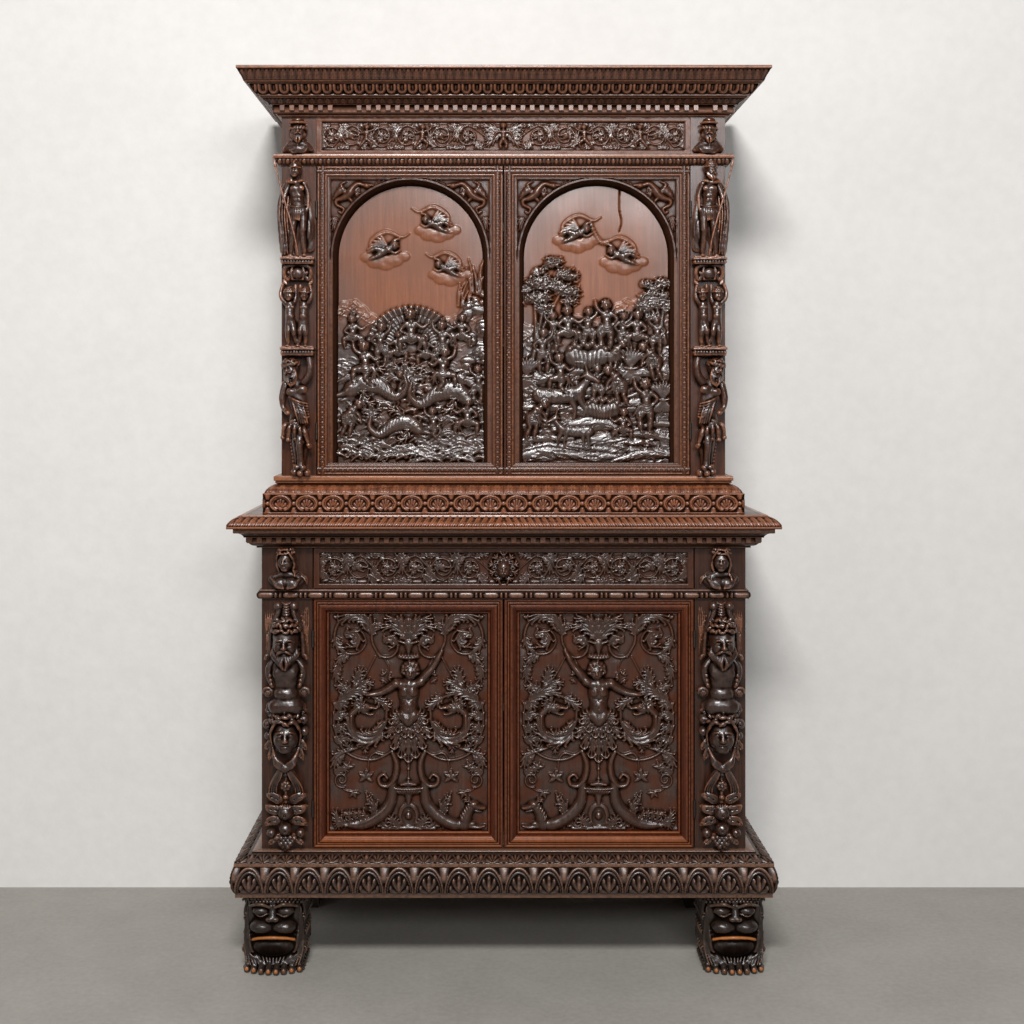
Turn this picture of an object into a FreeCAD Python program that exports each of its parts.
import FreeCAD, Part
import math
import os

# A two-part carved armoire.  The lower part is a buffet on four feet with a drawer and two doors.
# The upper part is a cupboard with two arched doors that stands on the counter.
# Sizes are in millimetres.  X runs to the right, the front faces -Y, Z runs up from the floor.
# A moulding projection is counted outward from the face of the case that carries it.

# The two cases
LOWER_WIDTH = 1298.0
LOWER_DEPTH = 520.0
UPPER_WIDTH = 1205.0
UPPER_SETBACK = 46.0
LOWER_PILASTER_WIDTH = 136.0
UPPER_PILASTER_WIDTH = 94.0
PILASTER_THICKNESS = 35.0
SIDE_THICKNESS = 24.0
SIDE_FRAME_WIDTH = 70.0
SIDE_PANEL_RECESS = 9.0
BACK_THICKNESS = 14.0
BACK_BOARD_WIDTH = 170.0
BACK_GROOVE_WIDTH = 4.0
BACK_GROOVE_DEPTH = 3.0
BOARD_THICKNESS = 22.0
BEARER_SIZE = 18.0
FRAME_INNER_WIDTH = 30.0

# Feet
FOOT_HEIGHT = 205.0
FOOT_WIDTH = 158.0
FOOT_DEPTH = 172.0
FOOT_OFFSET = 612.0
FOOT_FORWARD = 68.0
MASK_SHARE = 0.36
EYE_RADIUS = 13.0
NOSE_RADIUS = 22.0
CHIN_RADIUS = 30.0
LIP_RADIUS = 9.0
TOE_RADIUS = 13.0
TOE_COUNT = 7
REAR_FOOT_SIZE = 100.0
REAR_FOOT_TAPER = 14.0

# Plinth courses, from the bottom up
PLINTH_FOOT_FILLET = 13.0
TORUS_HEIGHT = 68.0
PLINTH_FILLET = 10.0
LACE_RISE = 14.0
PLINTH_BEAD = 6.0
TORUS_PROJECTION = 75.0
TORUS_FOOT_PROJECTION = 61.0
LACE_FOOT_PROJECTION = 64.0
LACE_TOP_PROJECTION = 32.0
PLINTH_BEAD_PROJECTION = 22.0

# Lower front
LOWER_DOOR_ZONE = 671.0
BEAD_RAIL_HEIGHT = 24.0
BEAD_RAIL_PROJECTION = 18.0
DRAWER_ZONE = 113.0

# Bed moulding under the counter
BED_FOOT_HEIGHT = 5.0
BED_FOOT_PROJECTION = 12.0
BED_ROUND_HEIGHT = 10.0
BED_DENTIL_HEIGHT = 15.0
BED_DENTIL_PROJECTION = 40.0
BED_DENTIL_DEPTH = 9.0
BED_COVE_HEIGHT = 14.0
BED_COVE_PROJECTION = 62.0
BED_TOP_HEIGHT = 12.0
BED_TOP_PROJECTION = 66.0
DENTIL_PITCH = 26.0
DENTIL_GAP = 12.0

# Counter
COUNTER_HEIGHT = 34.0
COUNTER_PROJECTION = 81.0
COUNTER_EDGE_RISE = 26.0
COUNTER_TOP_PROJECTION = 50.0
COUNTER_LIP = 5.0

# Waist moulding under the upper case
ARCADE_HEIGHT = 54.0
ARCADE_PROJECTION = 43.5
ARCH_PITCH = 70.0
NICHE_RADIUS = 24.0
NICHE_SILL = 12.0
NICHE_STRAIGHT = 6.0
NICHE_DEPTH = 4.0
NICHE_MARGIN = 12.0
WAIST_LEAF_HEIGHT = 20.0
WAIST_NECK_PROJECTION = 10.0
WAIST_NECK_HEIGHT = 8.0
WAIST_TOP_HEIGHT = 18.0
WAIST_TOP_PROJECTION = 19.0

# Upper front
UPPER_DOOR_ZONE = 842.0
LEDGE_EGG_HEIGHT = 17.0
LEDGE_EGG_PROJECTION = 15.0
LEDGE_TOP_HEIGHT = 12.0
LEDGE_PROJECTION = 20.0
FRIEZE_HEIGHT = 103.0

# Cornice courses, from the bottom up
CORNICE_FOOT_HEIGHT = 12.0
CORNICE_FOOT_PROJECTION = 14.0
CORNICE_DENTIL_HEIGHT = 16.0
CORNICE_DENTIL_PROJECTION = 26.0
CORNICE_DENTIL_DEPTH = 8.0
CORNICE_LEAF_HEIGHT = 14.0
CORNICE_LEAF_PROJECTION = 46.0
CORNICE_BEAD_HEIGHT = 11.0
CORNICE_BEAD_PROJECTION = 54.0
CORNICE_EGG_HEIGHT = 23.0
CORNICE_EGG_PROJECTION = 76.0
CORNICE_CYMA_FOOT_HEIGHT = 4.0
CORNICE_CYMA_FOOT_PROJECTION = 88.0
CORNICE_CYMA_HEIGHT = 29.0
CORNICE_LIP_HEIGHT = 8.0
CORNICE_PROJECTION = 106.0
TOP_BOARD_THICKNESS = 14.0

# Doors
HINGE_GAP = 3.0
MEETING_GAP = 4.0
DOOR_CLEARANCE = 2.0
DOOR_STOP_GAP = 2.0
UPPER_DOOR_THICKNESS = 46.0
UPPER_FRAME_WIDTH = 32.0
UPPER_BAND_START = 6.0
UPPER_BAND_WIDTH = 17.0
UPPER_BAND_RISE = 5.0
SPANDREL_SETBACK = 6.0
SPANDREL_THICKNESS = 26.0
ARCH_SIDE_MARGIN = 9.0
ARCH_CROWN_MARGIN = 4.0
ARCH_SILL_MARGIN = 2.0
ARCH_SPLAY = 14.0
ASTRAGAL_WIDTH = 6.0
ASTRAGAL_COVER = 0.5
ASTRAGAL_RISE = 5.0
LOWER_DOOR_THICKNESS = 40.0
LOWER_BORDER = 14.0
LOWER_CREST_WIDTH = 8.0
LOWER_CREST_RISE = 6.0
LOWER_FRAME_WIDTH = 42.0
LOWER_PANEL_SETBACK = 20.0
LOWER_PANEL_THICKNESS = 14.0
FRAME_STEP = 4.0

# Carving of the lower door panels
PANEL_FIGURE_WIDTH = 62.0
PANEL_FIGURE_DEPTH = 18.0
LEAF_SCROLL_RADIUS = 45.0
LEAF_SCROLL_WIDTH = 10.0
SMALL_SCROLL_RADIUS = 26.0
DRAGON_COIL_RADIUS = 48.0
DRAGON_COIL_WIDTH = 19.0
TAIL_COIL_RADIUS = 26.0
SCROLL_RISE = 9.0
COIL_RISE = 13.0
SEA_BEAST_LENGTH = 150.0
SEA_BEAST_WIDTH = 38.0
SEA_BEAST_DEPTH = 16.0
SEA_BEAST_LEAN = 130.0

# Carving of the upper door panels
SCENE_DEPTH = 15.0
CHILD_HEIGHT = 122.0
CHILD_WIDTH = 64.0
DOLPHIN_LENGTH = 168.0
DOLPHIN_WIDTH = 50.0
SHELL_HEIGHT = 126.0
SHELL_WIDTH = 220.0
ROCK_HEIGHT = 190.0
ROCK_WIDTH = 66.0
TREE_CROWN_HEIGHT = 178.0
TREE_CROWN_WIDTH = 140.0
BASKET_HEIGHT = 72.0
BASKET_WIDTH = 84.0
GOAT_LENGTH = 150.0
GOAT_WIDTH = 52.0
BANK_HEIGHT = 60.0
BANK_DEPTH = 9.0
BANK_MARGIN = 25.0
BANK_RISE = 5.0

# Hinges
PIN_PROUD = 7.0
PIN_RADIUS = 2.0
PIN_CLEARANCE = 0.05
BARREL_RADIUS = 4.0
HINGE_HEIGHT = 44.0
HINGE_LEAF_DEPTH = 24.0
HINGE_LEAF_THICKNESS = 1.2
KNUCKLE_GAP = 0.4
UPPER_HINGE_INSET = 120.0
LOWER_HINGE_INSET = 108.0

# Locks
LOCK_WIDTH = 30.0
LOCK_HEIGHT = 56.0
LOCK_THICKNESS = 16.0
BOLT_LENGTH = 24.0
BOLT_HEIGHT = 18.0
BOLT_THICKNESS = 6.0
BOLT_CLEARANCE = 0.4
BOLT_MORTISE_DEPTH = 9.0
KEYHOLE_RADIUS = 2.5
KEYHOLE_SLOT = 8.0
UPPER_KEYHOLE_INSET = 25.0
LOWER_KEYHOLE_INSET = 29.0

# Drawer
DRAWER_SIDE_GAP = 3.0
DRAWER_TOP_GAP = 2.0
DRAWER_FRONT_THICKNESS = 26.0
DRAWER_BOX_LENGTH = 400.0
DRAWER_BOX_HEIGHT = 84.0
DRAWER_WALL = 12.0
DRAWER_BOTTOM = 8.0
PULL_MASK_WIDTH = 62.0
PULL_MASK_DEPTH = 22.0
FIELD_RECESS = 9.0
FIELD_SIDE_MARGIN = 15.0
FIELD_TOP_MARGIN = 12.0

# Shelves
LOWER_SHELF_RISE = 330.0
UPPER_SHELF_RISE = 330.0
UPPER_SHELF_SPACING = 320.0
SHELF_FRONT_SETBACK = 70.0

# Carved work
UPPER_FIGURE_HEIGHT = 252.0
UPPER_FIGURE_DEPTH = 46.0
STAFF_RADIUS = 3.0
ARM_RADIUS = 6.0
CAPITAL_HEIGHT = 18.0
CAPITAL_PROJECTION = 46.0
CAPITAL_WIDTH = 92.0
SCROLL_HEIGHT = 46.0
CHERUB_HEIGHT = 178.0
CHERUB_WIDTH = 44.0
CHERUB_DEPTH = 40.0
TERM_CAPITAL_HEIGHT = 22.0
TERM_DEPTH = 48.0
TERM_FOOT_HEIGHT = 34.0
CARVING_EDGE_MARGIN = 8.0
UPPER_BUST_WIDTH = 90.0
UPPER_BUST_DEPTH = 42.0
LOWER_BUST_WIDTH = 118.0
LOWER_BUST_DEPTH = 52.0
LOWER_TERM_DEPTH = 58.0
CARVING_GAP = 1.0

# Levels and planes that follow from the sizes above
PLINTH_HEIGHT = PLINTH_FOOT_FILLET + TORUS_HEIGHT + PLINTH_FILLET + LACE_RISE + PLINTH_BEAD
BED_HEIGHT = BED_FOOT_HEIGHT + BED_ROUND_HEIGHT + BED_DENTIL_HEIGHT + BED_COVE_HEIGHT + BED_TOP_HEIGHT
WAIST_HEIGHT = ARCADE_HEIGHT + WAIST_LEAF_HEIGHT + WAIST_NECK_HEIGHT + WAIST_TOP_HEIGHT
LEDGE_HEIGHT = LEDGE_EGG_HEIGHT + LEDGE_TOP_HEIGHT
CORNICE_BASE_HEIGHT = CORNICE_FOOT_HEIGHT + CORNICE_DENTIL_HEIGHT + CORNICE_LEAF_HEIGHT + CORNICE_BEAD_HEIGHT
CORNICE_CROWN_HEIGHT = CORNICE_CYMA_FOOT_HEIGHT + CORNICE_CYMA_HEIGHT + CORNICE_LIP_HEIGHT
CORNICE_HEIGHT = CORNICE_BASE_HEIGHT + CORNICE_EGG_HEIGHT + CORNICE_CROWN_HEIGHT

Z_PLINTH = FOOT_HEIGHT
Z_LOWER_CASE = Z_PLINTH + PLINTH_HEIGHT
Z_RAIL = Z_LOWER_CASE + LOWER_DOOR_ZONE
Z_DRAWER = Z_RAIL + BEAD_RAIL_HEIGHT
Z_BED = Z_DRAWER + DRAWER_ZONE
Z_COUNTER = Z_BED + BED_HEIGHT
Z_WAIST = Z_COUNTER + COUNTER_HEIGHT
Z_UPPER_CASE = Z_WAIST + WAIST_HEIGHT
Z_LEDGE = Z_UPPER_CASE + UPPER_DOOR_ZONE
Z_FRIEZE = Z_LEDGE + LEDGE_HEIGHT
Z_CORNICE = Z_FRIEZE + FRIEZE_HEIGHT
Z_TOP = Z_CORNICE + CORNICE_HEIGHT

BACK_Y = (LOWER_DEPTH + COUNTER_PROJECTION) / 2
LOWER_FRONT_Y = BACK_Y - LOWER_DEPTH
UPPER_FRONT_Y = LOWER_FRONT_Y + UPPER_SETBACK
LOWER_HALF = LOWER_WIDTH / 2
UPPER_HALF = UPPER_WIDTH / 2
LOWER_OPENING = LOWER_HALF - LOWER_PILASTER_WIDTH
UPPER_OPENING = UPPER_HALF - UPPER_PILASTER_WIDTH


def vector(x, y, z):
    return FreeCAD.Vector(x, y, z)


def box(x0, x1, y0, y1, z0, z1):
    """A board between two corners, given in any order."""
    low = vector(min(x0, x1), min(y0, y1), min(z0, z1))
    return Part.makeBox(abs(x1 - x0), abs(y1 - y0), abs(z1 - z0), low)


def prism(points, travel):
    """A straight prism on a closed polygon of points."""
    return Part.Face(Part.makePolygon(points + points[:1])).extrude(travel)


def outline_face(steps, place):
    """A face from steps: (a, b) is a line to that point, (ma, mb, a, b) an arc through (ma, mb)."""
    start = place(*steps[0])
    last = start
    edges = []
    for step in steps[1:]:
        end = place(*step[-2:])
        if len(step) == 2:
            edges.append(Part.makeLine(last, end))
        else:
            edges.append(Part.Arc(last, place(step[0], step[1]), end).toShape())
        last = end
    edges.append(Part.makeLine(last, start))
    return Part.Face(Part.Wire(edges))


def clean(shape):
    """One tidy solid out of a fused shape."""
    return shape.removeSplitter().Solids[0]


def widest(steps):
    return max(max(step[0], step[-2]) for step in steps)


def moulding_front(steps, half_width, front_y):
    """The front length of a moulding, cut to a mitre at both ends."""
    reach = widest(steps) + 1
    base = min(step[-2] for step in steps)
    low_z = min(step[-1] for step in steps) - 1
    high_z = max(step[-1] for step in steps) + 1
    face = outline_face(steps, lambda p, z: vector(-half_width - reach, front_y - p, z))
    length = face.extrude(vector(2 * (half_width + reach), 0, 0))
    wedges = []
    for side in (-1, 1):
        corner = [vector(side * (half_width + base), front_y - base, low_z),
                  vector(side * (half_width + reach), front_y - reach, low_z),
                  vector(side * (half_width + reach), front_y - base, low_z)]
        wedges.append(prism(corner, vector(0, 0, high_z - low_z)))
    return length.cut(wedges).Solids[0]


def moulding_side(steps, half_width, front_y, back_y, side):
    """A side return of a moulding, mitred at the front and square at the back."""
    reach = widest(steps) + 1
    base = min(step[-2] for step in steps)
    low_z = min(step[-1] for step in steps) - 1
    high_z = max(step[-1] for step in steps) + 1
    face = outline_face(steps, lambda p, z: vector(side * (half_width + p), front_y - reach, z))
    length = face.extrude(vector(0, back_y - front_y + reach, 0))
    corner = [vector(side * (half_width + base), front_y - base, low_z),
              vector(side * (half_width + reach), front_y - reach, low_z),
              vector(side * (half_width + base), front_y - reach, low_z)]
    return length.cut(prism(corner, vector(0, 0, high_z - low_z))).Solids[0]


def moulding_set(steps, half_width, front_y, back_y):
    """A moulding round three sides of a case."""
    front = moulding_front(steps, half_width, front_y)
    left = moulding_side(steps, half_width, front_y, back_y, -1)
    right = moulding_side(steps, half_width, front_y, back_y, 1)
    return [front, left, right]


def cut_dentils(solids, half_width, front_y, back_y, projection, depth, z, height):
    """Slots between the dentils of a moulding set, at one pitch on all three sides."""
    front, left, right = solids
    inner = projection - depth
    count = int((half_width + projection) / DENTIL_PITCH)
    slots = []
    for step in range(-count, count + 1):
        middle = (step + 0.5) * DENTIL_PITCH
        if abs(middle) + DENTIL_GAP < half_width + inner:
            slots.append(box(middle - DENTIL_GAP / 2, middle + DENTIL_GAP / 2,
                             front_y - projection - 1, front_y - inner, z, z + height))
    front = front.cut(slots).Solids[0]
    sides = []
    for side, solid in ((-1, left), (1, right)):
        slots = []
        middle = front_y - inner + DENTIL_PITCH
        while middle < back_y - DENTIL_GAP:
            slots.append(box(side * (half_width + inner), side * (half_width + projection + 1),
                             middle - DENTIL_GAP / 2, middle + DENTIL_GAP / 2, z, z + height))
            middle += DENTIL_PITCH
        sides.append(solid.cut(slots).Solids[0])
    return [front] + sides


def mitred_frame(rect, steps):
    """Four mitred members round a rectangle, from steps of (inset from the outer edge, y)."""
    x0, x1, z0, z1 = rect
    reach = widest(steps)
    ys = [step[-1] for step in steps]
    y0 = min(ys) - 1
    thickness = max(ys) - y0 + 1
    members = []
    for side, edge in ((1, z0), (-1, z1)):
        face = outline_face(steps, lambda u, y: vector(x0, y, edge + side * u))
        rail = face.extrude(vector(x1 - x0, 0, 0))
        wedges = []
        for turn, end in ((1, x0), (-1, x1)):
            corner = [vector(end, y0, edge),
                      vector(end + turn * reach, y0, edge + side * reach),
                      vector(end, y0, edge + side * reach)]
            wedges.append(prism(corner, vector(0, thickness, 0)))
        members.append(rail.cut(wedges).Solids[0])
    for side, edge in ((1, x0), (-1, x1)):
        face = outline_face(steps, lambda u, y: vector(edge + side * u, y, z0))
        stile = face.extrude(vector(0, 0, z1 - z0))
        wedges = []
        for turn, end in ((1, z0), (-1, z1)):
            corner = [vector(edge, y0, end),
                      vector(edge + side * reach, y0, end + turn * reach),
                      vector(edge + side * reach, y0, end)]
            wedges.append(prism(corner, vector(0, thickness, 0)))
        members.append(stile.cut(wedges).Solids[0])
    return members


def half_oval(x, plane_y, z, half_width, depth):
    """A flat-backed oval section, bulging to the front."""
    ring = [vector(x + half_width * math.cos(turn), plane_y - depth * math.sin(turn), z)
            for turn in (0, math.pi / 4, math.pi / 2, 3 * math.pi / 4, math.pi)]
    curve = Part.BSplineCurve()
    curve.interpolate(ring)
    return Part.Wire([curve.toShape(), Part.makeLine(ring[-1], ring[0])])


def carved_form(x, plane_y, z, stations, width, height, depth):
    """A flat-backed carved form through stations of (height, half width, depth, shift) shares."""
    sections = []
    for rise, half, bulge, shift in stations:
        sections.append(half_oval(x + shift * width, plane_y, z + rise * height,
                                  half * width, bulge * depth))
    return Part.makeLoft(sections, True, True)


def leaning_form(x, plane_y, z, lean, stations, width, height, depth):
    """A carved form turned in the plane of its board; a lean of 90 lies to the right."""
    form = carved_form(x, plane_y, z, stations, width, height, depth)
    form.rotate(vector(x, plane_y, z), vector(0, 1, 0), lean)
    return form


def scroll_ring(x, plane_y, z, radius, width, rise):
    """A raised ring with sloping sides, the main form of a carved scroll."""
    foot = vector(x, plane_y, z)
    front = vector(0, -1, 0)
    slope = width / 3
    outer = Part.makeCone(radius, radius - slope, rise, foot, front)
    inner = Part.makeCone(radius - width, radius - width + slope, rise, foot, front)
    return outer.cut(inner).Solids[0]


def save(node, solids):
    """Writes one node as one file."""
    if not isinstance(solids, list):
        solids = [solids]
    shape = solids[0] if len(solids) == 1 else Part.makeCompound(solids)
    shape.exportStep("parts/" + node + ".step")


def lion_foot(side):
    """A front foot: a block with a bulging mask, its eyes, nose, lips and chin, over a row of round toes."""
    x = side * FOOT_OFFSET
    half = FOOT_WIDTH / 2
    front = LOWER_FRONT_Y - FOOT_FORWARD
    plane = front + FOOT_DEPTH * MASK_SHARE
    reach = plane - front
    block = box(x - half * 0.94, x + half * 0.94, plane, front + FOOT_DEPTH, 0, FOOT_HEIGHT)
    edges = [edge for edge in block.Edges
             if abs(edge.Vertexes[0].Z - edge.Vertexes[-1].Z) > 1 and edge.Vertexes[0].Y > plane + 1]
    block = block.makeFillet(FOOT_WIDTH * 0.12, edges)
    stations = [(0.0, 0.47, 0.62, 0), (0.12, 0.46, 0.60, 0), (0.19, 0.40, 0.62, 0),
                (0.34, 0.42, 0.72, 0), (0.50, 0.49, 0.74, 0), (0.66, 0.50, 0.80, 0),
                (0.76, 0.49, 0.72, 0), (0.88, 0.50, 0.84, 0), (1.0, 0.47, 0.62, 0)]
    mask = carved_form(x, plane, 0, stations, FOOT_WIDTH, FOOT_HEIGHT, reach)
    features = []
    for turn in (-1, 1):
        eye = vector(x + turn * half * 0.46, plane - reach * 0.66, FOOT_HEIGHT * 0.74)
        features.append(Part.makeSphere(EYE_RADIUS, eye))
    nose = vector(x, plane - reach * 0.62, FOOT_HEIGHT * 0.62)
    features.append(Part.makeSphere(NOSE_RADIUS, nose))
    chin = vector(x, plane - reach * 0.5, FOOT_HEIGHT * 0.27)
    features.append(Part.makeSphere(CHIN_RADIUS, chin))
    for rise in (0.40, 0.52):
        start = vector(x - half * 0.8, plane - reach * 0.62, FOOT_HEIGHT * rise)
        features.append(Part.makeCylinder(LIP_RADIUS, half * 1.6, start, vector(1, 0, 0)))
    spread = FOOT_WIDTH - 2 * TOE_RADIUS
    below = box(x - FOOT_WIDTH, x + FOOT_WIDTH, front - FOOT_WIDTH, plane, -2 * TOE_RADIUS, 0)
    for number in range(TOE_COUNT):
        share = number / (TOE_COUNT - 1) * 2 - 1
        bow = math.sqrt(1 - 0.75 * share * share)
        middle = vector(x + share * spread / 2, plane - (reach - TOE_RADIUS) * bow, TOE_RADIUS * 0.8)
        features.append(Part.makeSphere(TOE_RADIUS, middle).cut(below))
    return clean(block.fuse([mask] + features))


def rear_foot(side):
    """A plain tapered block under a back corner."""
    outer = side * (LOWER_HALF - FRAME_INNER_WIDTH / 2)
    inner = outer - side * REAR_FOOT_SIZE
    back = BACK_Y
    points = [vector(outer, back, FOOT_HEIGHT),
              vector(inner, back, FOOT_HEIGHT),
              vector(inner + side * REAR_FOOT_TAPER, back, 0),
              vector(outer - side * REAR_FOOT_TAPER, back, 0)]
    return prism(points, vector(0, -REAR_FOOT_SIZE, 0))


def plinth():
    z = Z_PLINTH
    fillet = z + PLINTH_FOOT_FILLET
    torus = fillet + TORUS_HEIGHT
    lace = torus + PLINTH_FILLET
    bead = lace + LACE_RISE
    top = bead + PLINTH_BEAD
    inner = -FRAME_INNER_WIDTH
    steps = [(inner, z),
             (TORUS_FOOT_PROJECTION, z),
             (TORUS_FOOT_PROJECTION, fillet),
             (TORUS_PROJECTION, fillet + TORUS_HEIGHT * 0.5, TORUS_FOOT_PROJECTION, torus),
             (LACE_FOOT_PROJECTION, torus),
             (LACE_FOOT_PROJECTION, lace),
             (LACE_TOP_PROJECTION, bead),
             (PLINTH_BEAD_PROJECTION, bead),
             (PLINTH_BEAD_PROJECTION, top),
             (inner, top)]
    solids = moulding_set(steps, LOWER_HALF, LOWER_FRONT_Y, BACK_Y)
    inside = LOWER_HALF - FRAME_INNER_WIDTH
    solids.append(box(-inside, inside, BACK_Y - FRAME_INNER_WIDTH, BACK_Y, z, top))
    return solids


def bed_moulding():
    z = Z_BED
    foot = z + BED_FOOT_HEIGHT
    round_top = foot + BED_ROUND_HEIGHT
    dentil = round_top + BED_DENTIL_HEIGHT
    cove = dentil + BED_COVE_HEIGHT
    back = BED_DENTIL_PROJECTION - BED_DENTIL_DEPTH
    middle = (BED_FOOT_PROJECTION + back) / 2
    steps = [(-SIDE_THICKNESS, z),
             (BED_FOOT_PROJECTION, z),
             (BED_FOOT_PROJECTION, foot),
             (middle + 4, foot + BED_ROUND_HEIGHT * 0.35, back, round_top),
             (BED_DENTIL_PROJECTION, round_top),
             (BED_DENTIL_PROJECTION, dentil),
             ((BED_DENTIL_PROJECTION + BED_COVE_PROJECTION) / 2 - 4, dentil + BED_COVE_HEIGHT * 0.72,
              BED_COVE_PROJECTION, cove),
             (BED_TOP_PROJECTION, cove),
             (BED_TOP_PROJECTION, cove + BED_TOP_HEIGHT),
             (-SIDE_THICKNESS, cove + BED_TOP_HEIGHT)]
    solids = moulding_set(steps, LOWER_HALF, LOWER_FRONT_Y, BACK_Y)
    return cut_dentils(solids, LOWER_HALF, LOWER_FRONT_Y, BACK_Y, BED_DENTIL_PROJECTION,
                       BED_DENTIL_DEPTH, round_top, BED_DENTIL_HEIGHT)


def counter():
    """The counter slab with its sloped carved edge on three sides."""
    z = Z_COUNTER
    top = z + COUNTER_HEIGHT
    edge = z + COUNTER_LIP
    shoulder = z + COUNTER_EDGE_RISE
    middle = (COUNTER_PROJECTION + COUNTER_TOP_PROJECTION) / 2
    steps = [(-SIDE_THICKNESS, z),
             (COUNTER_PROJECTION, z),
             (COUNTER_PROJECTION, edge),
             (middle + 5, (edge + shoulder) / 2 + 4, COUNTER_TOP_PROJECTION, shoulder),
             (COUNTER_TOP_PROJECTION, top),
             (-SIDE_THICKNESS, top)]
    edges = moulding_set(steps, LOWER_HALF, LOWER_FRONT_Y, BACK_Y)
    inside = LOWER_HALF - SIDE_THICKNESS
    slab = box(-inside, inside, LOWER_FRONT_Y + SIDE_THICKNESS, BACK_Y, z, top)
    return clean(slab.fuse(edges))


def waist():
    z = Z_WAIST
    arcade = z + ARCADE_HEIGHT
    leaf = arcade + WAIST_LEAF_HEIGHT
    neck = leaf + WAIST_NECK_HEIGHT
    top = neck + WAIST_TOP_HEIGHT
    inner = -FRAME_INNER_WIDTH
    span = ARCADE_PROJECTION - WAIST_NECK_PROJECTION
    steps = [(inner, z),
             (ARCADE_PROJECTION, z),
             (ARCADE_PROJECTION, arcade),
             (WAIST_NECK_PROJECTION + span * 0.72, arcade + WAIST_LEAF_HEIGHT * 0.72,
              WAIST_NECK_PROJECTION, leaf),
             (WAIST_NECK_PROJECTION, neck),
             (WAIST_TOP_PROJECTION, neck),
             (WAIST_TOP_PROJECTION, top),
             (inner, top)]
    solids = cut_niches(moulding_set(steps, UPPER_HALF, UPPER_FRONT_Y, BACK_Y), z + NICHE_SILL)
    inside = UPPER_HALF - FRAME_INNER_WIDTH
    solids.append(box(-inside, inside, BACK_Y - FRAME_INNER_WIDTH, BACK_Y, z, top))
    return solids


def niche(along, sill, place, inward):
    """A shallow round-headed niche; place turns (along, z) into a point on the carved face."""
    spring = sill + NICHE_STRAIGHT
    steps = [(along - NICHE_RADIUS, sill),
             (along + NICHE_RADIUS, sill),
             (along + NICHE_RADIUS, spring),
             (along, spring + NICHE_RADIUS, along - NICHE_RADIUS, spring)]
    return outline_face(steps, place).extrude(inward)


def cut_niches(solids, sill):
    """The row of niches on the front and both returns of the waist moulding."""
    front, left, right = solids
    face_y = UPPER_FRONT_Y - ARCADE_PROJECTION
    face_x = UPPER_HALF + ARCADE_PROJECTION
    count = int((2 * face_x - NICHE_MARGIN) / ARCH_PITCH)
    niches = []
    for number in range(count):
        along = (number - (count - 1) / 2) * ARCH_PITCH
        niches.append(niche(along, sill, lambda a, z: vector(a, face_y, z), vector(0, NICHE_DEPTH, 0)))
    front = front.cut(niches).Solids[0]
    sides = []
    count = int((BACK_Y - face_y - NICHE_MARGIN) / ARCH_PITCH)
    for side, solid in ((-1, left), (1, right)):
        niches = []
        for number in range(count):
            along = face_y + (number + 0.5) * ARCH_PITCH + NICHE_MARGIN
            niches.append(niche(along, sill, lambda a, z: vector(side * face_x, a, z),
                                vector(-side * NICHE_DEPTH, 0, 0)))
        sides.append(solid.cut(niches).Solids[0])
    return [front] + sides


def ledge():
    z = Z_LEDGE
    egg = z + LEDGE_EGG_HEIGHT
    steps = [(0, z),
             (LEDGE_EGG_PROJECTION * 0.4, z),
             (LEDGE_EGG_PROJECTION * 0.85, z + LEDGE_EGG_HEIGHT * 0.4, LEDGE_EGG_PROJECTION, egg),
             (LEDGE_PROJECTION, egg),
             (LEDGE_PROJECTION, egg + LEDGE_TOP_HEIGHT),
             (0, egg + LEDGE_TOP_HEIGHT)]
    return moulding_set(steps, UPPER_HALF, UPPER_FRONT_Y, BACK_Y)


def bead_rail():
    z = Z_RAIL
    middle = z + BEAD_RAIL_HEIGHT * 0.45
    shoulder = z + BEAD_RAIL_HEIGHT * 0.75
    steps = [(0, z),
             (BEAD_RAIL_PROJECTION * 0.6, z),
             (BEAD_RAIL_PROJECTION, middle, BEAD_RAIL_PROJECTION * 0.6, shoulder),
             (BEAD_RAIL_PROJECTION * 0.4, shoulder),
             (BEAD_RAIL_PROJECTION * 0.4, z + BEAD_RAIL_HEIGHT),
             (0, z + BEAD_RAIL_HEIGHT)]
    return moulding_set(steps, LOWER_HALF, LOWER_FRONT_Y, BACK_Y)


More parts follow.
